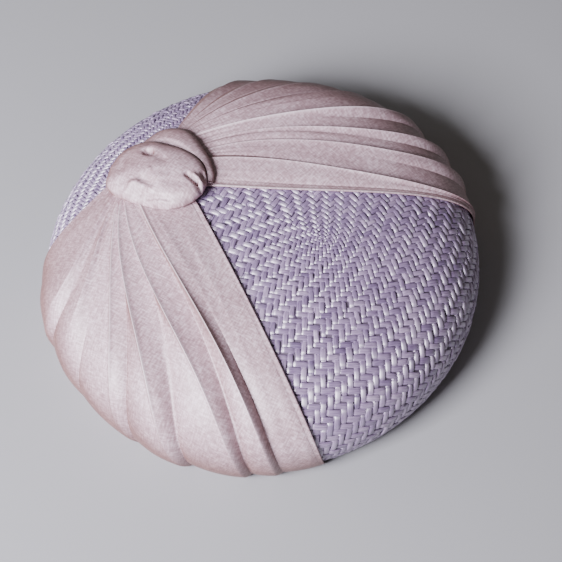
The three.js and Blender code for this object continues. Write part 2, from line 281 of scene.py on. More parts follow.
def soft_noise(seed, x, y):
    """Smooth seeded noise between -1 and 1: random numbers at whole places, blended between."""
    table = np.random.default_rng(seed).uniform(-1, 1, (NOISE_CELLS, NOISE_CELLS))
    x, y = np.broadcast_arrays(x, y)
    i, j = np.floor(x).astype(int), np.floor(y).astype(int)
    s, t = ease(x - i), ease(y - j)

    def corner(aside, above):
        return table[(i + aside) % NOISE_CELLS, (j + above) % NOISE_CELLS]

    low = corner(0, 0) * (1 - s) + corner(1, 0) * s
    high = corner(0, 1) * (1 - s) + corner(1, 1) * s
    return low * (1 - t) + high * t


# %% [markdown]
# ## Materials
# A material is a tree of nodes. One helper adds a node with its settings and links, and
# another turns the colours, which are written as sRGB hex numbers, into linear light.

# %% Material helpers
WHITE = 0xFFFFFF
BLACK = 0x000000


def linear(hex_colour):
    """An sRGB colour written as a hex number, as linear red, green, blue and alpha."""
    srgb = np.array([(hex_colour >> shift) & 255 for shift in (16, 8, 0)]) / 255
    rgb = np.where(srgb <= 0.04045, srgb / 12.92, ((srgb + 0.055) / 1.055) ** 2.4)
    return (*rgb.tolist(), 1.0)


def add_node(tree, kind, settings=None, inputs=None):
    """Adds a node, sets its properties, and sets or links its inputs. An input that is a pair
    of a node and an output's name is a link."""
    node = tree.nodes.new(kind)
    for key, value in (settings or {}).items():
        setattr(node, key, value)
    for key, value in (inputs or {}).items():
        if isinstance(value, tuple) and isinstance(value[0], bpy.types.Node):
            tree.links.new(value[0].outputs[value[1]], node.inputs[key])
        else:
            node.inputs[key].default_value = value
    return node


def new_material(name):
    """An empty material and its tree of nodes."""
    material = bpy.data.materials.new(name)
    material.use_nodes = True
    material.node_tree.nodes.clear()
    return material, material.node_tree


def finish_material(tree, surface):
    """Joins the surface to the material's output."""
    add_node(tree, "ShaderNodeOutputMaterial", inputs={"Surface": (surface, "BSDF")})


def colour_ramp(tree, factor, stops):
    """A colour ramp with stops given as pairs of a place and a hex colour."""
    ramp = add_node(tree, "ShaderNodeValToRGB", inputs={"Fac": factor})
    while len(ramp.color_ramp.elements) < len(stops):
        ramp.color_ramp.elements.new(0.5)
    for element, (place, colour) in zip(ramp.color_ramp.elements, stops):
        element.position = place
        element.color = linear(colour)
    return ramp


# %% [markdown]
# Straw is a stiff plant fibre. Split, dyed and woven flat it has a satin skin, and each strand
# shows two or three fine fibres along it. Natural wax and the dye's finish make it glossier
# than plain fibre, so its IOR is set high.

# %% Dyed straw
STRAW_DARK = 0x88759A
STRAW_MID = 0xA894B6
STRAW_LIGHT = 0xC6B3D0
# painted shade: the dark colour of the strands below the floats
STRAW_SHADE = 0x54455A
FIBRE_GRAIN_SHADE = 0xB4A6BA  # grain streaks that darken the colour between the fibres, partly painted shade
FIBRE_PITCH = 0.45  # millimetres between the fibres of a strand
ALONG_FIBRES = 0.12  # fineness of the streaks along the strand, as a share of that across
STRAW_IOR = 1.95
STRAW_ROUGHNESS = 0.4
ACROSS_FIBRES = 0.25  # turns from the strand's length to the way that its gloss spreads


def dyed_straw():
    """Dyed straw. The tone of each strand sets its colour, and fine fibres run along it as streaks
    of grain whose colour is darker between the fibres, partly painted shade. The fibres spread its
    gloss across the strand, so strands that lie squarely to the light are bright and those that
    run with it are dull, which is what shows the twill."""
    material, tree = new_material("dyed_straw")
    tone = add_node(tree, "ShaderNodeAttribute", {"attribute_name": "tone"})
    stops = [(0.0, STRAW_DARK), (0.5, STRAW_MID), (1.0, STRAW_LIGHT)]
    colour = colour_ramp(tree, (tone, "Fac"), stops)
    place = add_node(tree, "ShaderNodeUVMap", {"uv_map": "cloth"})
    fineness = (ALONG_FIBRES / FIBRE_PITCH, 1 / FIBRE_PITCH, 1.0)
    stretch = add_node(
        tree,
        "ShaderNodeMapping",
        inputs={"Vector": (place, "UV"), "Scale": fineness},
    )
    fibres = add_node(
        tree,
        "ShaderNodeTexNoise",
        inputs={"Vector": (stretch, "Vector"), "Scale": 1.0, "Detail": 3.0, "Roughness": 0.6},
    )
    # Grain streaks, darkest between the fibres where the bump is low: partly painted shade.
    grain_and_groove_shade = colour_ramp(tree, (fibres, "Fac"), [(0.3, FIBRE_GRAIN_SHADE), (0.65, WHITE)])
    grain_shaded_colour = add_node(
        tree,
        "ShaderNodeMix",
        {"data_type": "RGBA", "blend_type": "MULTIPLY"},
        {0: 1.0, 6: (colour, "Color"), 7: (grain_and_groove_shade, "Color")},
    )
    bump = add_node(
        tree,
        "ShaderNodeBump",
        inputs={"Height": (fibres, "Fac"), "Strength": 0.4, "Distance": 0.0001},
    )
    fibre_way = add_node(tree, "ShaderNodeTangent", {"direction_type": "UV_MAP", "uv_map": "cloth"})
    surface = add_node(
        tree,
        "ShaderNodeBsdfPrincipled",
        inputs={
            "Base Color": (grain_shaded_colour, 2),
            "Roughness": STRAW_ROUGHNESS,
            "IOR": STRAW_IOR,
            "Specular IOR Level": 1.0,
            "Anisotropic": 0.9,
            "Anisotropic Rotation": ACROSS_FIBRES,
            "Tangent": (fibre_way, "Tangent"),
            "Normal": (bump, "Normal"),
        },
    )
    finish_material(tree, surface)
    return material


def shaded_straw():
    """The strands that lie below the woven ones, drawn in a dark colour that is painted shade."""
    material, tree = new_material("straw_below_painted_shade")
    surface = add_node(
        tree,
        "ShaderNodeBsdfPrincipled",
        inputs={"Base Color": linear(STRAW_SHADE), "Roughness": 0.7, "IOR": STRAW_IOR},
    )
    finish_material(tree, surface)
    return material


straw = dyed_straw()
straw_below = shaded_straw()
print("materials:", straw.name, "and", straw_below.name)

# %% [markdown]
# Silk dupion is a crisp plain weave of uneven yarn: thick places in the yarn, the slubs, run
# across the cloth as fine streaks. Where it turns away from the camera its colour is darkened
# to brown, which is painted shade. Real dupion has about 40 threads to a centimetre, which a
# picture of the whole hat can't show, so the weave is drawn at 0.7 mm, as coarse as it needs
# to be to be seen.

# %% Silk dupion
SILK_DARK = 0xA3838A
SILK_MID = 0xC1A3AC
SILK_LIGHT = 0xDFC8D1
SILK_TURNED_SHADE = 0xAC8D80  # painted shade: what is left of the colour where the cloth turns from the camera
SILK_CREST_HIGHLIGHT = 0xF4E6EC  # painted highlight along the pressed crests
SILK_IOR = 1.7
SILK_ROUGHNESS = 0.56
THREAD_PITCH = 0.7  # millimetres
THREAD_STREAK = 0.25  # fineness along a thread, as a share of that across it
THREAD_CONTRAST = 1.1
THREAD_LEVEL = -0.87  # brings the threads' mean back to the middle of the colours
SLOW_CONTRAST = 0.5
SLUB_LENGTH = 9.0
SLUB_WIDTH = 0.5
SLUB_FROM = 0.62  # the noise at which a slub starts, and where it is full
SLUB_FULL = 0.76
SLUB_CONTRAST = 0.3


def silk_dupion():
    """Silk dupion: threads along both directions of the cloth, slubs across it, and a slow
    change of colour over the whole piece. Where it turns away from the camera it is darkened to
    brown, which is painted shade, and its pressed crests are paled, which is a painted highlight."""
    material, tree = new_material("silk_dupion")
    place = add_node(tree, "ShaderNodeUVMap", {"uv_map": "cloth"})
    heights = []
    for scale in ((THREAD_STREAK, 1.0, 1.0), (1.0, THREAD_STREAK, 1.0)):
        size = tuple(value / THREAD_PITCH for value in scale)
        stretched = add_node(
            tree, "ShaderNodeMapping", inputs={"Vector": (place, "UV"), "Scale": size}
        )
        heights.append(
            add_node(
                tree,
                "ShaderNodeTexNoise",
                inputs={"Vector": (stretched, "Vector"), "Scale": 1.0, "Detail": 2.0},
            )
        )
    threads = add_node(
        tree,
        "ShaderNodeMath",
        {"operation": "ADD"},
        {0: (heights[0], "Fac"), 1: (heights[1], "Fac")},
    )
    slub_place = add_node(
        tree,
        "ShaderNodeMapping",
        inputs={"Vector": (place, "UV"), "Scale": (1 / SLUB_WIDTH, 1 / SLUB_LENGTH, 1.0)},
    )
    slubs = add_node(
        tree,
        "ShaderNodeTexNoise",
        inputs={"Vector": (slub_place, "Vector"), "Scale": 1.0, "Detail": 1.0},
    )
    slub_mask = colour_ramp(tree, (slubs, "Fac"), [(SLUB_FROM, BLACK), (SLUB_FULL, WHITE)])
    relief = add_node(
        tree,
        "ShaderNodeMath",
        {"operation": "ADD"},
        {0: (threads, "Value"), 1: (slub_mask, "Color")},
    )
    slow = add_node(
        tree, "ShaderNodeTexNoise", inputs={"Vector": (place, "UV"), "Scale": 0.05, "Detail": 3.0}
    )
    fine = add_node(
        tree,
        "ShaderNodeMath",
        {"operation": "MULTIPLY_ADD"},
        {0: (threads, "Value"), 1: THREAD_CONTRAST, 2: THREAD_LEVEL},
    )
    blend = add_node(
        tree,
        "ShaderNodeMath",
        {"operation": "MULTIPLY_ADD"},
        {0: (slow, "Fac"), 1: SLOW_CONTRAST, 2: (fine, "Value")},
    )
    streaked = add_node(
        tree,
        "ShaderNodeMath",
        {"operation": "MULTIPLY_ADD"},
        {0: (slub_mask, "Color"), 1: SLUB_CONTRAST, 2: (blend, "Value")},
    )
    stops = [(0.2, SILK_DARK), (0.5, SILK_MID), (0.8, SILK_LIGHT)]
    colour = colour_ramp(tree, (streaked, "Value"), stops)
    # Painted shade: the colour is darkened to brown where the cloth turns away from the camera.
    turned_away = add_node(tree, "ShaderNodeLayerWeight", inputs={"Blend": 0.5})
    stops = [(0.25, WHITE), (0.75, SILK_TURNED_SHADE)]
    turned_shade_colour = colour_ramp(tree, (turned_away, "Facing"), stops)
    turned_shade = add_node(
        tree,
        "ShaderNodeMix",
        {"data_type": "RGBA", "blend_type": "MULTIPLY"},
        {0: 1.0, 6: (colour, "Color"), 7: (turned_shade_colour, "Color")},
    )
    # Painted highlight: the pressed crests are mixed towards a pale colour.
    crest_highlight_mask = add_node(tree, "ShaderNodeAttribute", {"attribute_name": "tone"})
    highlighted_colour = add_node(
        tree,
        "ShaderNodeMix",
        {"data_type": "RGBA"},
        {0: (crest_highlight_mask, "Fac"), 6: (turned_shade, 2), 7: linear(SILK_CREST_HIGHLIGHT)},
    )
    bump = add_node(
        tree,
        "ShaderNodeBump",
        inputs={"Height": (relief, "Value"), "Strength": 0.35, "Distance": 0.00012},
    )
    surface = add_node(
        tree,
        "ShaderNodeBsdfPrincipled",
        inputs={
            "Base Color": (highlighted_colour, 2),
            "Roughness": SILK_ROUGHNESS,
            "IOR": SILK_IOR,
            "Specular IOR Level": 1.0,
            "Normal": (bump, "Normal"),
        },
    )
    finish_material(tree, surface)
    return material


silk = silk_dupion()
print("material:", silk.name, "with", len(silk.node_tree.nodes), "nodes")

# %% [markdown]
# ## Where the silk lies
# Each fan is gathered under the knot and spreads towards the rim. Its folds are lines on the
# flattened crown. A line leaves the knot at a share of half the knot's width and length from
# its middle, and runs to an angle on the rim, bowed sideways by a share of the crown's radius
# and skewed, so that the bow is stronger towards the rim. The rises are its height at five
# places from the knot to the rim, as shares of a full pleat, and the crease is the height in
# millimetres of the sharp pressed edge that some folds keep.

# %% The knot's place and the tables of folds
KNOT_LENGTH = 44.0
KNOT_WIDTH = 28.0
KNOT_BACK = 0.503 * CROWN_RADIUS
KNOT_SIDE = -8.0
PLEAT_DEPTH = 2.4
STATIONS = np.array([0.0, 0.25, 0.5, 0.75, 1.0])
FOLD_COLUMNS = ("side", "back", "rim", "bow", "skew", "rises", "crease")
COURSE_COLUMNS = FOLD_COLUMNS[:5]  # those that say where a fold runs

RIGHT_FOLDS = [
    (0.64, -0.90, -41.0, -0.085, 0.00, (0.00, 0.05, 0.05, 0.05, 0.0), 0.3),
    (0.85, -0.82, -40.3, -0.085, 0.00, (0.10, 0.00, 0.00, 0.00, 0.0), -0.3),
    (1.10, -0.70, -39.6, -0.090, -0.03, (0.25, 0.25, 0.25, 0.20, 0.1), 0.0),
    (1.35, -0.46, -38.7, -0.100, -0.10, (0.40, 0.60, 0.75, 0.60, 0.1), 0.2),
    (1.45, -0.40, -38.0, -0.107, -0.12, (0.10, 0.05, 0.05, 0.10, 0.0), -0.3),
    (1.52, -0.36, -33.5, -0.060, -0.12, (0.20, 0.25, 0.30, 0.30, 0.1), 0.0),
    (1.59, -0.31, -30.8, -0.045, -0.13, (0.25, 0.35, 0.80, 1.10, 0.2), 0.2),
    (1.62, -0.28, -30.0, -0.039, -0.13, (0.10, 0.10, 0.10, 0.10, 0.0), -0.2),
    (1.67, -0.18, -25.0, -0.042, -0.13, (0.20, 0.30, 0.30, 0.30, 0.2), 0.0),
    (1.70, -0.11, -22.5, -0.042, -0.13, (0.25, 0.40, 0.90, 1.20, 0.3), 0.2),
    (1.72, -0.08, -21.6, -0.043, -0.13, (0.10, 0.10, 0.10, 0.05, 0.0), -0.2),
    (1.79, 0.06, -15.0, -0.043, -0.08, (0.20, 0.40, 0.45, 0.40, 0.3), 0.0),
    (1.84, 0.14, -12.3, -0.043, -0.06, (0.40, 0.90, 1.50, 1.40, 0.4), 0.3),
    (1.86, 0.17, -11.4, -0.043, -0.06, (0.10, 0.10, 0.10, 0.05, 0.0), -0.2),
    (1.91, 0.23, -3.0, -0.030, -0.06, (0.30, 0.50, 0.60, 0.60, 0.4), 0.0),
    (1.93, 0.27, 2.0, -0.025, -0.06, (0.40, 0.55, 0.65, 0.75, 0.3), 0.1),
    (1.94, 0.30, 4.5, -0.020, -0.06, (0.15, 0.15, 0.10, 0.05, 0.0), -0.2),
    (1.96, 0.34, 12.5, -0.010, -0.05, (0.35, 0.45, 0.50, 0.55, 0.3), 0.1),
    (1.97, 0.38, 16.0, -0.005, -0.04, (0.15, 0.20, 0.10, 0.05, 0.0), -0.2),
    (1.98, 0.43, 24.0, 0.005, -0.02, (0.35, 0.45, 0.50, 0.50, 0.3), 0.1),
    (1.99, 0.47, 28.0, 0.010, 0.00, (0.10, 0.15, 0.10, 0.05, 0.0), -0.2),
    (2.00, 0.52, 33.5, 0.010, 0.00, (0.20, 0.45, 0.60, 0.60, 0.2), 0.0),
    (2.00, 0.56, 38.0, 0.010, 0.00, (0.00, 0.05, 0.05, 0.05, 0.0), 0.0),
]

LEFT_FOLDS = [
    (-0.68, 0.86, 131.0, 0.050, 0.00, (0.00, 0.05, 0.05, 0.05, 0.0), 0.0),
    (-0.90, 0.72, 135.0, 0.070, 0.02, (0.10, 0.15, 0.15, 0.15, 0.0), 0.0),
    (-1.05, 0.54, 143.0, 0.160, 0.08, (0.30, 0.60, 1.00, 1.00, 0.3), 0.0),
    (-1.07, 0.50, 148.5, 0.150, 0.08, (0.15, 0.25, 0.35, 0.30, 0.0), 0.0),
    (-1.09, 0.46, 156.0, 0.140, 0.10, (0.20, 0.50, 0.85, 0.80, 0.3), 0.0),
    (-1.09, 0.43, 165.0, 0.110, 0.10, (0.15, 0.20, 0.20, 0.15, 0.0), 0.0),
    (-1.08, 0.40, 181.0, 0.070, 0.07, (0.40, 0.65, 0.85, 0.80, 0.3), 0.45),
    (-1.07, 0.37, 184.0, 0.105, 0.06, (0.20, 0.10, 0.00, 0.00, 0.0), -0.1),
    (-1.05, 0.33, 197.0, 0.025, 0.09, (0.50, 1.10, 1.55, 1.60, 0.6), 0.55),
    (-1.03, 0.29, 198.8, 0.105, 0.03, (0.35, 0.30, -0.20, -0.40, 0.0), -0.1),
    (-1.01, 0.25, 213.0, 0.020, 0.11, (0.50, 1.15, 1.70, 1.75, 0.6), 0.55),
    (-0.88, 0.18, 214.5, 0.085, 0.04, (0.40, 0.50, -0.10, -0.40, 0.0), -0.1),
    (-0.74, 0.10, 220.5, 0.045, 0.07, (0.50, 1.50, 2.00, 1.60, 0.4), 0.5),
    (-0.64, 0.00, 222.5, 0.055, 0.03, (0.42, 1.20, 0.70, -0.30, 0.0), -0.1),
    (-0.40, -0.50, 228.0, 0.005, 0.00, (0.30, 0.60, 0.50, 0.25, 0.1), 0.0),
    (-0.10, -0.90, 232.0, 0.000, 0.00, (0.10, 0.10, 0.10, 0.10, 0.0), 0.0),
    (0.00, -0.96, 233.0, 0.000, 0.00, (0.00, 0.05, 0.05, 0.05, 0.0), 0.0),
]


# %% [markdown]
# These functions turn a row of a table into a line on the flattened crown, and the two outer
# lines of a fan into its border.

# %% Fold lines and borders
BORDER_STEPS = 24  # points on each side of a fan's border
BORDER_PAST_RIM = 1.05  # so that the straw's folded edge counts as covered


def fold_table(rows):
    """The rows of a table of folds as one array for each named column."""
    columns = {name: [row[i] for row in rows] for i, name in enumerate(FOLD_COLUMNS)}
    return {name: np.array(column, float) for name, column in columns.items()}


def knot_place(side, back):
    """A place on the flattened crown, given by shares of half the knot's width and length."""
    return side * KNOT_WIDTH / 2 + KNOT_SIDE, back * KNOT_LENGTH / 2 + KNOT_BACK


def fold_place(folds, share):
    """Places on the flattened crown of fold lines at shares of the way from the knot to the
    rim. A line is straight from its start to its end, moved sideways by a parabola times a
    straight line for the skew."""
    start_x, start_y = knot_place(folds["side"], folds["back"])
    angle = np.radians(folds["rim"])
    way_x, way_y = RIM_LENGTH * np.cos(angle) - start_x, RIM_LENGTH * np.sin(angle) - start_y
    bow = folds["bow"] + folds["skew"] * (2 * share - 1)
    bow = 4 * share * (1 - share) * bow * CROWN_RADIUS / np.hypot(way_x, way_y)
    return start_x + way_x * share - way_y * bow, start_y + way_y * share + way_x * bow


def fan_border(rows):
    """The border of a fan on the flattened crown: along its first fold, round the rim and
    back along its last fold."""
    folds = fold_table(rows)
    share = np.linspace(0, 1, BORDER_STEPS)
    first, last = [
        np.array(fold_place({name: column[i] for name, column in folds.items()}, share))
        for i in (0, -1)
    ]
    angle = np.radians(np.linspace(folds["rim"][0], folds["rim"][-1], BORDER_STEPS))
    rim = BORDER_PAST_RIM * RIM_LENGTH * np.array([np.cos(angle), np.sin(angle)])
    return np.concatenate([first.T, rim.T, last.T[::-1]])


def depth_inside(x, y, border):
    """How far each place lies inside a closed border, negative where it lies outside."""
    a, b = border, np.roll(border, -1, axis=0)
    way = b - a
    rel_x, rel_y = x[:, None] - a[:, 0], y[:, None] - a[:, 1]
    t = np.clip((rel_x * way[:, 0] + rel_y * way[:, 1]) / (way**2).sum(1), 0, 1)
    far = np.hypot(rel_x - t * way[:, 0], rel_y - t * way[:, 1]).min(1)
    above = (a[:, 1] > y[:, None]) != (b[:, 1] > y[:, None])
    rise = np.where(way[:, 1] == 0, 1, way[:, 1])
    crossing = above & (x[:, None] < a[:, 0] + rel_y * way[:, 0] / rise)
    return np.where(crossing.sum(1) % 2 == 1, far, -far)


def silk_depth(x, y):
    """How far places lie inside the nearer fan's border."""
    borders = [fan_border(rows) for rows in (RIGHT_FOLDS, LEFT_FOLDS)]
    return np.maximum(*(depth_inside(x, y, border) for border in borders))


print("folds:", len(RIGHT_FOLDS), "on the right and", len(LEFT_FOLDS), "on the left")

# %% [markdown]
# ## The weave
# The crown is a two-over-two-under twill that starts from one point near its front. Three
# quarters of a square weave go all the way round that point, so its two sets of strands meet
# along one line, where the ridges of the twill turn back as in a herringbone. The power of
# three quarters of a complex number does just that: it takes the flattened crown to a square
# grid and keeps right angles, so the strands cross squarely and get broader away from the
# middle. Behind the knot the ridges run along the rim, so there the strands lie at 45 degrees
# to it. The silk covers the two places where one way of weaving would change to the other.

# %% The maps from the square weave to the flattened crown
WEAVE_CENTRE = (8.1, -27.5)
MEETING_LINE = np.radians(98.5)  # direction of the line where the weave turns back
WEAVE_POWER = 0.75
STRAND_PITCH = 2.05  # millimetres, at PITCH_DISTANCE from the weave's middle
PITCH_DISTANCE = 20.0
WEAVE_SCALE = PITCH_DISTANCE ** (1 - WEAVE_POWER) / (WEAVE_POWER * STRAND_PITCH)
BACK_PITCH = 2.0  # millimetres between the strands behind the knot
BACK_RADIUS = 110.0  # length from the top at which both sets have this spacing
BACK_MIDDLE = np.radians(84.0)


def front_weave(u, v):
    """Places on the flattened crown of the weave's coordinates, in strands. The distance goes
    by the power 4/3, and the angle is stretched from three quarters of a turn to a whole."""
    angle = np.arctan2(v, u)
    angle = np.where(angle < -np.pi / 4, angle + 2 * np.pi, angle) / WEAVE_POWER + MEETING_LINE
    distance = (np.hypot(u, v) / WEAVE_SCALE) ** (1 / WEAVE_POWER)
    x = WEAVE_CENTRE[0] + distance * np.cos(angle)
    return x, WEAVE_CENTRE[1] + distance * np.sin(angle)


def back_weave(u, v):
    """The same behind the knot: the sum of the two coordinates goes round the crown's axis,
    at most a quarter turn either way, and their difference goes down to the rim."""
    around = (u + v) / np.sqrt(2) * BACK_PITCH / BACK_RADIUS
    distance = np.maximum(BACK_RADIUS + (v - u) / np.sqrt(2) * BACK_PITCH, 1.0)
    angle = BACK_MIDDLE + np.clip(around, -np.pi / 2, np.pi / 2)
    return distance * np.cos(angle), distance * np.sin(angle)


# %% [markdown]
# A float is a stretch of strand that lies on top. Which cells of the weave are floats is a
# rule of whole numbers: it is what a weaver reads off a point paper. Only the floats that the
# silk leaves bare are made. Each differs a little from the others in place, width, height and
# tone, as split straw does.

# %% Which floats there are
FLOAT_WIDTH = 0.97  # of the strands' spacing, before each float's own share of it
NARROWEST = 0.8
BROADEST = 1.04
DRIFT = 0.08  # standard deviations, in strands
LEAN = 0.04
RAISED = 0.1  # millimetres
STRETCH = 0.07
SHADE_SPREAD = 0.2  # of the tone, which goes from 0 to 1
FLOAT_DIVE = 0.28  # how far a float runs under its neighbours, in strands
COVERED = 5.0  # millimetres under the silk past which no float is made
OUTSIDE_STOP = 0.6  # millimetres from the outline's end to the last floats' middles
INSIDE_STOP = 1.0  # the same from the rim, inside
FRONT_REACH = 66  # strands either way
BACK_REACH = 70


def float_list(lengthwise, reach, cut):
    """Strand number, first cell and last cell of every float of one set. Strands that run
    along v (lengthwise) lie on top where (i - j) mod 4 is 0 or 1, and the others elsewhere.
    In the cut weave the quarter u > 0, v < 0 isn't there, and floats end at its borders."""
    strand, turn = np.meshgrid(np.arange(-reach, reach), np.arange(-reach, reach, 4), indexing="ij")
    strand, turn = strand.ravel(), turn.ravel()
    first = turn + np.mod(strand + (-1 if lengthwise else 2), 4)
    last = first + 2
    if cut and lengthwise:
        first = np.where(strand >= 0, np.maximum(first, 0), first)
    elif cut:
        last = np.where(strand < 0, np.minimum(last, 0), last)
    keep = last > first
    return strand[keep], first[keep].astype(float), last[keep].astype(float)


def bare_floats(lengthwise, weave, inside, rng):
    """The floats of one set that the silk leaves bare: one named array for the middle of the
    strand, the centre along it, half the length, the width, the lean, the height and the
    tone."""
    front = weave is front_weave
    strand, first, last = float_list(lengthwise, FRONT_REACH if front else BACK_REACH, front)
    count = len(strand)
    drift, lean, raised = rng.normal(0, [[DRIFT], [LEAN], [RAISED]], (3, count))
    half = (last - first) / 2 + rng.normal(0, STRETCH, count) + FLOAT_DIVE
    broad = FLOAT_WIDTH * rng.uniform(NARROWEST, BROADEST, count)
    shade = np.clip(rng.normal(0.5, SHADE_SPREAD, count), 0, 1)
    middle, centre = strand + 0.5 + drift, (first + last) / 2
    x, y = weave(*((middle, centre) if lengthwise else (centre, middle)))
    stop = RIM_LENGTH - INSIDE_STOP if inside else OUTLINE[0][-1] - OUTSIDE_STOP
    keep = np.hypot(x, y) < stop
    if not inside:
        keep &= (y <= KNOT_BACK) if front else (y > KNOT_BACK)
        keep[keep] = silk_depth(x[keep], y[keep]) < COVERED
    floats = {"middle": middle, "centre": centre, "half": half, "broad": broad}
    floats |= {"lean": lean, "raised": raised, "shade": shade}
    return {name: values[keep] for name, values in floats.items()}


# %% [markdown]
# A float arches over the two strands that it crosses and dives under the next ones. Its
# section is a flat ribbon with two soft ridges, because the straw is split and pressed. Each
# float is one small closed mesh, so every strand has real edges and shadows of its own.

# %% The shape of a float
OUTER_FLOAT = {
    "steps": 8,
    "across": [-1.0, -0.58, 0.0, 0.58, 1.0],
    "height": [-0.34, 0.0, -0.07, 0.0, -0.34],
}
INNER_FLOAT = {
    "steps": 4,
    "across": [-1.0, 0.0, 1.0],
    "height": [-0.35, 0.0, -0.35],
}
FLOAT_DROP = 0.95  # millimetres from its top down to its ends
FLOAT_FLATNESS = 4.0  # the power by which a float falls to its ends
FLOAT_THICKNESS = 0.4
FLOOR_GAP = 0.05  # the least height of any point over the floor
NEXT_STREAKS = 7.3  # millimetres along the fibres from one float's streaks to the next one's


def float_points(floats, lengthwise, weave, ribbon, inside):
    """The floats as one array of points [float, row, column], with the two lower edges as the
    last two columns. Along a float t goes from -1 to 1 and its height falls by a high power
    of |t|; across it the ribbon's section is added."""
    each = {name: values[:, None, None] for name, values in floats.items()}
    t = np.linspace(-1, 1, ribbon["steps"] + 1)[None, :, None]
    a = np.array(ribbon["across"])[None, None, :]
    along = each["centre"] + t * each["half"] + 0 * a
    across = each["middle"] + each["broad"] / 2 * a + each["lean"] * t * each["half"]
    x, y = weave(*((across, along) if lengthwise else (along, across)))
    fall = FLOAT_DROP * np.abs(t) ** FLOAT_FLATNESS
    upper = each["raised"] + np.array(ribbon["height"]) - fall
    lower = upper[..., [0, -1]] - FLOAT_THICKNESS
    if inside:
        upper, lower = -STRAW_WALL - upper, -STRAW_WALL - lower
    skins = [on_crown(x, y, upper), on_crown(x[..., [0, -1]], y[..., [0, -1]], lower)]
    points = np.concatenate(skins, axis=2)
    points[..., 2] = np.maximum(points[..., 2], FLOOR_GAP)
    return points


def join_floats(points, half, ribbon):
    """Faces and cloth coordinates for all the floats, each a closed tube of the ribbon's
    section with a flat cap at each end."""
    count, rows, columns = points.shape[:3]
    ring = np.array(list(range(columns - 2)) + [columns - 1, columns - 2])
    row, k = np.meshgrid(np.arange(rows - 1), np.arange(columns), indexing="ij")
    here, beside = row * columns + ring[k], row * columns + ring[(k + 1) % columns]
    sides = np.stack([here, here + columns, beside + columns, beside], -1).reshape(-1, 4)
    caps = [ring[None, ::-1].copy(), ring[None] + (rows - 1) * columns]
    one_float = outward(points[0].reshape(-1, 3), [sides] + caps)
    start = (np.arange(count) * rows * columns)[:, None, None]
    sets = [(faces[None] + start).reshape(-1, faces.shape[1]) for faces in one_float]
    t = np.linspace(-1, 1, rows)[None, :, None] * half[:, None, None] * STRAND_PITCH
    a = np.append(ribbon["across"], [-1, 1]) * STRAND_PITCH / 2
    offset = (np.arange(count) * NEXT_STREAKS)[:, None, None]
    return sets, np.stack([t + offset + 0 * a, a + offset + 0 * t], -1).reshape(-1, 2)


# %% [markdown]
# The hat has a weave in front of the knot and one behind it, each of two sets of strands, and
# the front weave is also seen from inside.

# %% The floats


def straw_floats(name, lengthwise, weave, ribbon, inside, seed):
    """One set of floats as one piece."""
    floats = bare_floats(lengthwise, weave, inside, np.random.default_rng(seed))
    points = float_points(floats, lengthwise, weave, ribbon, inside)
    sets, uv = join_floats(points, floats["half"], ribbon)
    tone = np.repeat(floats["shade"], points.shape[1] * points.shape[2])
    piece = add_piece(name, points.reshape(-1, 3), sets, straw, uv, tone)
    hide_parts("straw_crown")


straw_floats("straw_front_lengthwise", True, front_weave, OUTER_FLOAT, False, 11)
straw_floats("straw_front_crosswise", False, front_weave, OUTER_FLOAT, False, 12)
straw_floats("straw_back_lengthwise", True, back_weave, OUTER_FLOAT, False, 13)
straw_floats("straw_back_crosswise", False, back_weave, OUTER_FLOAT, False, 14)
straw_floats("straw_inside_lengthwise", True, front_weave, INNER_FLOAT, True, 15)
straw_floats("straw_inside_crosswise", False, front_weave, INNER_FLOAT, True, 16)

# %% [markdown]
# The strands below the floats show only through the small gaps at their corners, so they are
# one thin shell, turned round the crown's axis, whose dark colour is painted shade.

# %% The strands below
CORE_OUTER = -0.85  # lifts of its two skins
CORE_INNER = -1.25
CORE_SHOULDER = 90.0  # length from the top past which its rows lie closer together
CORE_ROWS = (45, 33)  # before and past the shoulder
CORE_TURN = 2.5  # degrees


def straw_core():
    """The outline, moved in by the core's two depths, turned round the axis."""
    top = np.linspace(0, CORE_SHOULDER, CORE_ROWS[0] + 1)[1:]
    side = np.linspace(CORE_SHOULDER, OUTLINE[0][-1], CORE_ROWS[1] + 1)[1:]
    length = np.concatenate([top, side])
    outer = np.array(section_at(length, CORE_OUTER))
    inner = np.array(section_at(length, CORE_INNER))
    radius, height = np.concatenate([outer, inner[:, ::-1]], axis=1)[..., None]
    points = turned(radius, height, np.radians(np.arange(0, 360, CORE_TURN)))
    rows, columns = points.shape[:2]
    tops = np.array([[0, 0, CROWN_HEIGHT + CORE_OUTER], [0, 0, CROWN_HEIGHT + CORE_INNER]])
    flat = np.concatenate([points.reshape(-1, 3), tops])
    faces = [grid_faces(rows, columns)] + end_points(rows, columns)
    piece = add_piece("straw_core", flat, outward(flat, faces), straw_below)
    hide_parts("straw_crown")


straw_core()

# %% [markdown]
# ## The pleated silk
# A fan is one sheet of silk laid in folds. It could be draped by a cloth simulation, but the
# folds of a made-up hat are laid by hand and stitched, so their lines and heights are given
# and the cloth between them is worked out. Near the knot it is pulled tight and hangs between
# sharp crests with broad valleys. Towards the rim the pleats fill out to full rolls that meet
# in narrow slits. Pressed crests are pinched to a thin edge that carries a painted highlight,
# and close to the knot the cloth is gathered into small wrinkles.

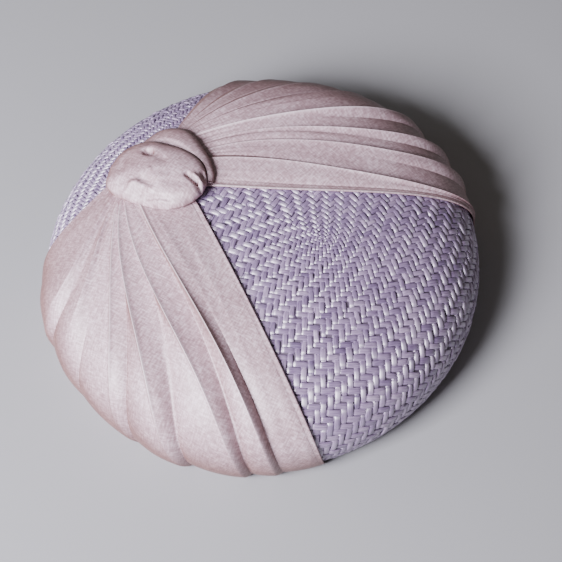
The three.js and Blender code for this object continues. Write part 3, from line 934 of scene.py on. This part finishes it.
# %% Heights of the cloth
FOLD_POINTS = (10, 22)  # least and most columns between two folds
POINTS_PER_DEGREE = 2.0
ROLL_FULLNESS = 0.8
TIGHTNESS = 1.6
ROLLS_FROM = 0.42  # share of the way to the rim where the folds start to fill out
ROLLS_FULL = 0.78
WRINKLE_HEIGHT = 0.28  # millimetres
WRINKLES_PER_FOLD = 1.7
WRINKLES_TO_RIM = 5.0
GATHER_HEIGHT = 0.16
GATHERS_PER_FOLD = 4.3
GATHERS_TO_RIM = 3.0
GATHER_SHARE = 0.32  # of the way to the rim, where the gathers end
FADE_FROM_EDGE = 0.8  # folds
FADE_TO_RIM = 0.1  # share of the way to the rim
CREASE_WIDTH = 0.55
CREASE_END = 0.95  # share of the way to the rim
CREASE_FADE = 0.35
CREASE_START = 0.04


def columns_between(folds):
    """Positions across the fan, in folds. They crowd towards the folds, where the cloth bends
    most, and there are more of them where the folds lie far apart."""
    gaps = np.abs(np.diff(folds["rim"]))
    counts = np.clip(np.round(gaps * POINTS_PER_DEGREE), *FOLD_POINTS).astype(int)
    parts = [k + 0.5 - 0.5 * np.cos(np.pi * np.arange(n) / n) for k, n in enumerate(counts)]
    return np.append(np.concatenate(parts), len(gaps))


def fold_heights(folds, position, share):
    """Height over flat silk for every row and column, in millimetres: a power curve with sharp
    crests near the knot, blended to a quarter of a sine with sharp valleys near the rim."""
    rises = smooth_curve(share, STATIONS, folds["rises"]) * PLEAT_DEPTH
    k = np.minimum(position.astype(int), len(folds["rim"]) - 2)
    t = position - k
    a, b = rises[:, k], rises[:, k + 1]
    t = np.where(b >= a, t, 1 - t)
    full = ease((share - ROLLS_FROM) / (ROLLS_FULL - ROLLS_FROM))[:, None]
    shape = full * np.sin(t * np.pi / 2) ** ROLL_FULLNESS + (1 - full) * t**TIGHTNESS
    return np.minimum(a, b) + np.abs(b - a) * shape


def wrinkles(seed, position, share):
    """Small waves that run with the folds, and gathers that fade out away from the knot. Both
    are seeded noise and fade at the fan's two edges and at the rim."""
    from_edge = np.minimum(position, position[-1] - position)
    fade = ease(from_edge / FADE_FROM_EDGE) * ease((1 - share) / FADE_TO_RIM)
    waves = soft_noise(seed, position * WRINKLES_PER_FOLD, share * WRINKLES_TO_RIM)
    gathers = soft_noise(seed + 1, position * GATHERS_PER_FOLD, share * GATHERS_TO_RIM)
    gathers = GATHER_HEIGHT * gathers * ease(1 - share / GATHER_SHARE)
    return fade * (WRINKLE_HEIGHT * waves + gathers)


def pressed_creases(folds, x, y, share):
    """Sharp crests and slits along the folds that have one: a narrow bell across the fold,
    which fades out before the rim."""
    height = np.zeros_like(x)
    fade = ease((CREASE_END - share) / CREASE_FADE) * ease(share / CREASE_START)
    for k in np.flatnonzero(folds["crease"]):
        line_x, line_y = fold_place({name: v[k] for name, v in folds.items()}, share)
        far = np.hypot(x - line_x, y - line_y)
        height += folds["crease"][k] * fade * np.exp(-((far / CREASE_WIDTH) ** 2))
    return height


# %% [markdown]
# The cloth starts under the knot, follows its fold lines down the crown, goes round the rim
# and is turned up inside, where a milliner would stitch it down.

# %% The way of the cloth from the knot to the inside
FAN_ROWS = 96
ROW_CROWDING = 1.15
LOWEST = -0.35  # millimetres, just over the straw
# How strongly the pressed crests are painted pale: a painted highlight.
CREST_HIGHLIGHT_STRENGTH = 0.75
TUCK_IN = 6.0
TUCK_ROWS = 6
TURN_UP = 9.0
TURN_UP_START = 2.0
BEND_ROWS = (6, 6)  # round the outer and the inner corner of the straw's folded edge
TURN_UP_ROWS = 6


def crown_rows(folds, across, position, seed):
    """Places of the cloth on the flattened crown from the knot to the rim, its height over flat
    silk, and the painted highlight on its pressed crests."""
    share = 1 - (1 - np.linspace(0, 1, FAN_ROWS)) ** ROW_CROWDING
    x, y = fold_place(across, share[:, None])
    height = fold_heights(folds, position, share) + wrinkles(seed, position, share[:, None])
    creases = pressed_creases(folds, x, y, share[:, None])
    crest_highlight = CREST_HIGHLIGHT_STRENGTH * np.clip(creases / folds["crease"].max(), 0, 1) ** 2
    return x, y, np.maximum(height + creases, LOWEST), crest_highlight


def tucked_in(x, y, height):
    """The same places and heights after rows that come from under the knot: they run straight
    away from its middle and rise from flat silk."""
    middle = knot_place(0, 0)
    tuck = np.linspace(TUCK_IN, 0, TUCK_ROWS, endpoint=False)[:, None]
    way = np.hypot(middle[0] - x[0], middle[1] - y[0])
    tuck_x = x[0] + (middle[0] - x[0]) / way * tuck
    tuck_y = y[0] + (middle[1] - y[0]) / way * tuck
    tuck_height = height[0] * (1 - tuck / TUCK_IN)
    pairs = ((tuck_x, x), (tuck_y, y), (tuck_height, height))
    return [np.concatenate(pair) for pair in pairs]


def rim_rows():
    """Sections round the straw's folded edge and up inside it. Each has the near skin's and
    the far skin's radius and height, its distance along the cloth past the rim, how much of
    the pleats' height is left, and the direction of that height."""
    rim_r, rim_z = section_at(RIM_LENGTH, 0.0)
    normal = [np.interp(RIM_LENGTH, OUTLINE[0], OUTLINE[k]) for k in (3, 4)]
    start = np.arctan2(-normal[1], normal[0])
    quarter = np.pi / 2
    near, far = CLEARANCE, CLEARANCE + SILK_WALL
    bends = []
    for angle in np.linspace(start, quarter, BEND_ROWS[0] + 1)[1:]:
        bends.append((rim_r, angle, 0.0, 1 - (angle - start) / (quarter - start)))
    for angle in np.linspace(quarter, np.pi, BEND_ROWS[1]):
        bends.append((rim_r - STRAW_WALL, angle, STRAW_WALL, 0.0))
    sections = []
    for r, angle, crossed, left in bends:
        way_r, way_z = np.cos(angle), -np.sin(angle)
        skins = [(r + way_r * lift, rim_z + way_z * lift) for lift in (near, far)]
        sections.append((skins, (angle - start) * far + crossed, left, (way_r, way_z)))
    reached = sections[-1][1]
    for rise in np.linspace(TURN_UP_START, TURN_UP, TURN_UP_ROWS):
        skins = [section_at(RIM_LENGTH - rise, -STRAW_WALL - lift) for lift in (near, far)]
        sections.append((skins, reached + rise, 0.0, (0.0, 0.0)))
    return sections


def turned_in(angle, last_height):
    """Rows of the near skin, the far skin and the cloth's own coordinates past the rim, for
    columns at these angles round the crown."""
    near_skin, far_skin, chart = [], [], []
    for skins, length, left, way in rim_rows():
        more = last_height * left
        for (r, z), rows in zip(skins, (near_skin, far_skin)):
            level = np.maximum(z + way[1] * more, FLOOR_GAP)
            rows.append(turned(r + way[0] * more, level, angle))
        reach = RIM_LENGTH + length
        chart.append(np.stack([reach * np.cos(angle), reach * np.sin(angle)], -1))
    return np.array(near_skin), np.array(far_skin), np.array(chart)


# %% [markdown]
# The two skins and the rounded edges make one closed sheet, so the cloth has a thickness that
# shows where an edge lifts off the straw.

# %% One closed sheet from two skins
SILK_THICKNESS = 0.85
EDGE_ANGLES = (55, 20, -20, -55)  # degrees round the edge of a sheet


def rounded_edge(far, near, far_beside):
    """Points round the edge of a sheet, from its far skin to its near one: a half circle
    whose diameter is the sheet's thickness."""
    middle, half = (far + near) / 2, (far - near) / 2
    aside = far - far_beside
    aside = aside / np.linalg.norm(aside, axis=-1, keepdims=True)
    reach = np.linalg.norm(half, axis=-1, keepdims=True)
    angles = np.radians(EDGE_ANGLES)
    return np.stack([middle + half * np.sin(a) + aside * reach * np.cos(a) for a in angles], 1)


def end_caps(rows, columns, skin):
    """Faces that close the first and last rows of a closed sheet, between its two skins."""
    edge = len(EDGE_ANGLES)
    k = np.arange(skin - 1)
    near = skin + edge + skin - 1 - k
    quads = np.stack([k, k + 1, near - 1, near], -1)
    edge_last = np.array([[skin - 1 + i for i in range(edge + 2)]])
    edge_first = np.array([[columns - edge + i for i in range(edge)] + [0, columns - edge - 1]])
    first_row = [quads, edge_last, edge_first]
    below = (rows - 1) * columns
    return first_row + [faces[:, ::-1] + below for faces in first_row]


def closed_sheet(far, near, uv):
    """One closed mesh from the far and near skins of a sheet, each [row, column]."""
    last = rounded_edge(far[:, -1], near[:, -1], far[:, -2])
    first = rounded_edge(far[:, 0], near[:, 0], far[:, 1])[:, ::-1]
    points = np.concatenate([far, last, near[:, ::-1], first], axis=1)
    uv_last = np.repeat(uv[:, -1:], len(EDGE_ANGLES), axis=1)
    uv_first = np.repeat(uv[:, :1], len(EDGE_ANGLES), axis=1)
    uvs = np.concatenate([uv, uv_last, uv[:, ::-1], uv_first], axis=1)
    rows, columns = points.shape[:2]
    flat = points.reshape(-1, 3)
    faces = [grid_faces(rows, columns)] + end_caps(rows, columns, far.shape[1])
    return flat, outward(flat, faces), uvs.reshape(-1, 2)


# %% [markdown]
# Now the fans themselves. The threads run along and across the middle line of each fan, so
# its coordinates are the flattened crown's, turned to that line.

# %% The two fans


def silk_fan(name, rows, seed):
    """The sheet of a fan and its cloth's area. Rows run from under the knot to the rim, round
    it and up inside; columns run across the folds."""
    folds = fold_table(rows)
    position = columns_between(folds)
    index = np.arange(len(folds["rim"]))
    across = {key: np.interp(position, index, folds[key]) for key in COURSE_COLUMNS}
    x, y, height, crest_highlight = crown_rows(folds, across, position, seed)
    x, y, height = tucked_in(x, y, height)
    outer = CLEARANCE + SILK_WALL + height
    angle = np.radians(across["rim"])
    near_end, far_end, chart_end = turned_in(angle, height[-1])
    far = np.concatenate([on_crown(x, y, outer), far_end])
    near = np.concatenate([on_crown(x, y, outer - SILK_THICKNESS), near_end])
    chart = np.concatenate([np.stack([x, y], -1), chart_end])
    way = np.radians(folds["rim"].mean())
    spin = np.array([[np.cos(way), -np.sin(way)], [np.sin(way), np.cos(way)]])
    points, sets, uvs = closed_sheet(far, near, chart @ spin)
    # The tone attribute carries the painted highlight on the pressed crests.
    tone = np.zeros((len(far), len(points) // len(far)))
    tone[TUCK_ROWS : TUCK_ROWS + FAN_ROWS, : crest_highlight.shape[1]] = crest_highlight
    piece = add_piece(name, points, sets, silk, uvs, tone.ravel())
    steps = [np.linalg.norm(np.diff(far, axis=k), axis=-1) for k in (0, 1)]
    area = (steps[0][:, 1:] * steps[1][1:]).sum()
    print(name, "cloth area", round(area / 100), "square centimetres")
    return piece, area


right_fan, right_area = silk_fan("silk_fan_right_cloth", RIGHT_FOLDS, 21)
left_fan, left_area = silk_fan("silk_fan_left_cloth", LEFT_FOLDS, 31)
for piece, node in ((right_fan, "silk_fan_right"), (left_fan, "silk_fan_left")):
    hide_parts(node)

# %% [markdown]
# ## The knot
# The knot is a pad of silk folded over itself. It could be cut as one strip and folded in a
# simulation, but its outline and creases are known from the finished hat, so it is a dome over
# that outline with the creases pressed in. Its body bulges over the gathers, with a small deep
# dimple, two pinched creases near its front tip and soft folds along its lower edge.

# %% The knot's outline and creases
# Angle round the knot's middle in degrees, and reach as a share of half its length.
KNOT_OUTLINE = [
    (0, 0.72), (20, 0.72), (48, 0.88), (62, 0.93), (76, 0.97), (97, 0.95), (115, 0.93),
    (131, 0.94), (146, 0.84), (157, 0.75), (177, 0.67), (200, 0.65), (216, 0.69), (240, 0.86),
    (257, 0.97), (268, 1.02), (286, 1.05), (300, 1.00), (317, 0.92), (338, 0.79),
]

# Creases and ridges of the knot: from and to, in millimetres from its middle, the half width
# and the depth, which is negative where a fold stands up. The first one is the dimple.
KNOT_CREASES = [
    (6.2, 7.4, 6.6, 6.4, 1.4, 3.4),
    (6.4, 5.6, 6.2, -1.2, 1.8, 0.45),
    (5.0, -14.6, 4.5, -19.1, 0.9, 2.0),
    (4.5, -19.1, 3.0, -22.6, 0.9, 2.0),
    (6.5, -16.9, 5.0, -22.4, 0.9, -1.0),
    (9.4, -18.6, 7.0, -22.6, 0.8, 1.5),
    (-10.6, -5.6, -7.7, -14.0, 1.0, 0.8),
    (-12.3, -8.7, -9.8, -15.3, 1.0, 0.6),
    (-1.0, -2.5, 2.0, -8.0, 1.5, 0.25),
    (-7.9, -14.9, -3.0, -20.5, 1.2, 0.4),
    (-14.3, 4.2, -9.6, 2.7, 1.5, -0.8),
    (-9.6, 2.7, -8.2, 1.0, 1.5, -0.5),
    (-8.2, 1.0, -7.9, -5.2, 1.5, -0.8),
    (-12.6, 0.6, -10.6, -2.0, 1.3, 0.6),
    (-5.6, 0.6, -5.4, -5.0, 1.4, 0.4),
    (-11.0, 8.0, -6.0, 6.0, 1.7, 0.4),
    (-5.0, 12.0, 2.0, 14.0, 1.8, 0.3),
    (-2.0, -10.0, 1.0, -16.0, 1.8, 0.3),
]


# %% [markdown]
# The body is made of rings round its middle. Its underside lies on the gathers, and behind
# them it comes down to the straw. On the side where the body runs out into the left fan its
# edge is thin.

# %% The knot's body
KNOT_SEAT = 2.6  # millimetres from the straw up to its underside
SEAT_DROP = 1.8  # how much lower the underside is where no fan lies below it
DROP_FROM = (32, 18)  # degrees where that stretch starts, and how long it takes to go down
DROP_TO = (108, 14)
KNOT_RISE = 7.6
KNOT_EDGE = 0.2  # height of its widest ring, as a share of the whole
KNOT_FOOT = [(0.985, 0.4), (0.92, 0.0)]  # rings below that: shares of its reach and height
KNOT_ROUNDNESS = 0.66
THIN_ROUNDNESS = 0.7  # added where the edge is thin
THIN_SIDE = 0.97  # how much thinner the edge is on that side
THIN_ANGLE = 195.0
THIN_SPREAD = 45.0  # degrees
CREASES_FROM = 0.6  # of the widest ring's height, where the creases start
KNOT_SWELL = 0.25
KNOT_SWELL_SIZE = 5.5
KNOT_SEED = 41
KNOT_SIDES = 180
KNOT_RINGS = 60


def seat_at(angle):
    """Height of the knot's underside over the straw, at an angle round its middle."""
    going_down = ease((angle - DROP_FROM[0]) / DROP_FROM[1])
    return KNOT_SEAT - SEAT_DROP * going_down * ease((DROP_TO[0] - angle) / DROP_TO[1])


def knot_reach(angle):
    """The outline's reach at any angle, smooth all the way round."""
    table = np.array(KNOT_OUTLINE, float)
    rows = np.concatenate([table[-3:] - [360, 0], table, table[:3] + [360, 0]])
    return smooth_curve(angle, rows[:, 0], rows[:, 1])[:, 0] * KNOT_LENGTH / 2


def crease_depth(x, y, creases):
    """Depth of the creases at places given from the knot's middle: each is a bell across a
    straight stretch, rounded off at its ends."""
    depth = np.zeros_like(x)
    for x0, y0, x1, y1, width, deep in creases:
        way_x, way_y = x1 - x0, y1 - y0
        t = np.clip(((x - x0) * way_x + (y - y0) * way_y) / (way_x**2 + way_y**2), 0, 1)
        far = np.hypot(x - x0 - t * way_x, y - y0 - t * way_y)
        depth += deep * np.exp(-((far / width) ** 2))
    return depth


def knot_rings():
    """Places and heights of the rings. Over the widest ring the section is a power curve, and
    below it the body draws in to its flat seat. The heights have slow seeded swells, less the
    depth of the creases."""
    angle = np.arange(0, 360, 360 / KNOT_SIDES)
    fall = np.linspace(0, np.pi / 2, KNOT_RINGS)[1:]
    thin = np.exp(-(((angle - THIN_ANGLE) / THIN_SPREAD) ** 2))
    roundness = KNOT_ROUNDNESS + THIN_ROUNDNESS * thin
    edge = KNOT_EDGE * KNOT_RISE * (1 - THIN_SIDE * thin)
    foot_reach, foot_lift = np.array(KNOT_FOOT).T[..., None]
    spread = np.concatenate([np.sin(fall)[:, None] ** roundness, foot_reach + 0 * angle])
    dome = np.cos(fall)[:, None] ** roundness
    lift = np.concatenate([edge + (KNOT_RISE - edge) * dome, foot_lift * edge])
    x = spread * knot_reach(angle) * np.cos(np.radians(angle))
    y = spread * knot_reach(angle) * np.sin(np.radians(angle))
    over = ease((lift - edge * CREASES_FROM) / edge)
    swell = KNOT_SWELL * soft_noise(KNOT_SEED, x / KNOT_SWELL_SIZE, y / KNOT_SWELL_SIZE)
    seat = KNOT_SEAT + (seat_at(angle) - KNOT_SEAT) * (1 - np.clip(lift / KNOT_RISE, 0, 1))
    return x, y, seat + lift + (swell - crease_depth(x, y, KNOT_CREASES)) * over


def knot_body():
    """The rings on the crown, closed with one point above and one below."""
    x, y, height = knot_rings()
    middle_x, middle_y = knot_place(0, 0)
    points = on_crown(x + middle_x, y + middle_y, height)
    heights = np.array([KNOT_SEAT + KNOT_RISE, KNOT_SEAT])
    ends = on_crown(np.full(2, middle_x), np.full(2, middle_y), heights)
    flat = np.concatenate([points.reshape(-1, 3), ends])
    uv = np.concatenate([np.stack([x, y], -1).reshape(-1, 2), np.zeros((2, 2))])
    sets = [grid_faces(*x.shape)] + end_points(*x.shape)
    piece = add_piece("silk_knot_body", flat, outward(flat, sets), silk, uv)
    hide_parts("silk_knot")


knot_body()

# %% [markdown]
# A fold of the same silk is drawn round the knot's side, from its back to its front tip. It
# is broad and flat behind, and narrows to a roll at the tip.

# %% The fold that is wrapped round the knot
# Middle of the fold in millimetres from the knot's middle, its half width, and its height.
WRAP_COURSE = [
    (8.5, 18.6, 1.8, 1.4),
    (14.6, 16.0, 3.8, 2.4),
    (19.6, 12.0, 5.2, 3.2),
    (21.8, 6.4, 5.7, 3.8),
    (21.2, 0.4, 4.9, 4.1),
    (19.6, -5.4, 3.8, 4.1),
    (18.0, -10.4, 3.0, 3.8),
    (15.6, -15.0, 2.4, 3.3),
    (13.0, -18.8, 1.9, 2.6),
    (9.6, -21.6, 1.0, 1.5),
]
WRAP_STEPS = 110
WRAP_TOP = 26  # points of its section that lie on top
WRAP_POWER = 2.6  # of the quarter round, where 2 is a circle and more is squarer
WRAP_LIFT = 0.1
WRAP_GAP = 0.35  # millimetres from the body
WRAP_SIDE = 0.45  # height of the one point beside the body, as a share of the whole
LIP_DEPTH = 0.22  # how far the top dips to the body, as a share of its height
LIP_START = -0.55
LIP_LENGTH = 0.45


def wrap_section():
    """The fold's section: places across from its outer edge at 1 to the body at -1 and back
    underneath, and heights as shares of the whole, first in a quarter round."""
    under = [[-1.0, -0.9], np.linspace(-0.6, 0.8, 6)]
    across = np.concatenate([np.linspace(1, -1, WRAP_TOP)] + under)
    rising = np.sqrt(np.clip(1 - np.abs((1 - across) / 2 - 1) ** WRAP_POWER, 0, 1))
    lip = LIP_DEPTH * ease((LIP_START - across) / LIP_LENGTH)
    height = np.where(np.arange(len(across)) < WRAP_TOP, rising - lip, 0.0)
    height[WRAP_TOP] = WRAP_SIDE
    return across, height


def beside_body(x, y, lift, angle):
    """The same places, moved out to the body's side where they would reach into it. The
    body's section is solved for the reach at each height."""
    reach = knot_reach(angle.ravel()).reshape(angle.shape)
    edge = KNOT_EDGE * KNOT_RISE
    level = np.clip((lift - KNOT_SEAT - edge) / (KNOT_RISE - edge), 0, 1) ** (1 / KNOT_ROUNDNESS)
    spread = np.sqrt(1 - level**2) ** KNOT_ROUNDNESS
    push = np.maximum(1, (reach * spread + WRAP_GAP) / np.hypot(x, y))
    return x * push, y * push


def wrap_fold():
    """The section carried along the course, square to it."""
    course = np.array(WRAP_COURSE, float)
    stations = np.linspace(0, 1, len(course))
    x, y, half, height = smooth_curve(np.linspace(0, 1, WRAP_STEPS), stations, course.T).T
    along = np.stack([np.gradient(x), np.gradient(y)], -1)
    along /= np.linalg.norm(along, axis=1, keepdims=True)
    across, share = wrap_section()
    place_x = x[:, None] - along[:, 1:] * half[:, None] * across
    place_y = y[:, None] + along[:, :1] * half[:, None] * across
    angle = np.degrees(np.arctan2(place_y, place_x)) % 360
    drop = (KNOT_SEAT - seat_at(angle)) * (1 - share)
    lift = KNOT_SEAT + WRAP_LIFT + height[:, None] * share - drop
    place_x, place_y = beside_body(place_x, place_y, lift, angle)
    middle_x, middle_y = knot_place(0, 0)
    points = on_crown(place_x + middle_x, place_y + middle_y, lift)
    rows, columns = lift.shape
    flat = points.reshape(-1, 3)
    ring = np.arange(columns)[None]
    sets = [grid_faces(rows, columns), ring[:, ::-1], ring + (rows - 1) * columns]
    uv = np.stack([place_x, place_y], -1).reshape(-1, 2)
    piece = add_piece("knot_wrap_fold", flat, outward(flat, sets), silk, uv)
    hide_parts("knot_wrap")


wrap_fold()

# %% [markdown]
# ## Sheets of cloth
# Each fan was cut as a wedge, broad at the rim and narrow at the knot, from a length of silk
# 20 cm wide and 16 cm long.

# %% [markdown]
# ## Floor and light
# The hat stands on a plain pale floor. The main light is one soft square, as from a window on
# the left of the picture, so each fold is bright on its left and in shade on its right. A weak
# one from the far left, as from the sky, lights what faces away from the camera, and the room
# gives a little warm light from all round.

# %% Stage
FLOOR_COLOUR = 0xA0A2A3
FLOOR_REACH = 3.0  # metres either way
WORLD_COLOUR = 0xF0E4E0
WORLD_STRENGTH = 0.14


def add_floor():
    material, tree = new_material("matt_floor")
    surface = add_node(
        tree,
        "ShaderNodeBsdfPrincipled",
        inputs={"Base Color": linear(FLOOR_COLOUR), "Roughness": 0.9},
    )
    finish_material(tree, surface)
    mesh = bpy.data.meshes.new("floor")
    sides = ((-1, -1), (1, -1), (1, 1), (-1, 1))
    corners = [(x * FLOOR_REACH, y * FLOOR_REACH, 0) for x, y in sides]
    mesh.from_pydata(corners, [], [(0, 1, 2, 3)])
    mesh.materials.append(material)
    floor = bpy.data.objects.new("floor", mesh)
    bpy.context.scene.collection.objects.link(floor)


def add_light(name, direction, distance, size, power, colour):
    """A square soft light that faces the hat from a direction given in the picture: right,
    up and towards the camera. Its distance and size are in metres, its power in watts."""
    right, up, backward = camera_axes(CAMERA_AZIMUTH, CAMERA_ELEVATION, CAMERA_ROLL)
    way = unit(direction[0] * right + direction[1] * up + direction[2] * backward)
    data = bpy.data.lights.new(name, "AREA")
    data.size = size
    data.energy = power
    data.color = linear(colour)[:3]
    light = bpy.data.objects.new(name, data)
    light.location = Vector(way * distance)
    light.rotation_euler = Vector(way).to_track_quat("Z", "Y").to_euler()
    bpy.context.scene.collection.objects.link(light)


add_floor()
add_light("window", (-0.61, -0.1, 0.78), 0.95, 0.42, 27.0, 0xF8F4FF)
add_light("sky", (-1.0, 0.2, 0.1), 1.2, 0.6, 2.5, 0xEEF2FF)
world = bpy.data.worlds.new("room")
bpy.context.scene.world = world
world.use_nodes = True
background = world.node_tree.nodes["Background"]
background.inputs["Color"].default_value = linear(WORLD_COLOUR)
background.inputs["Strength"].default_value = WORLD_STRENGTH
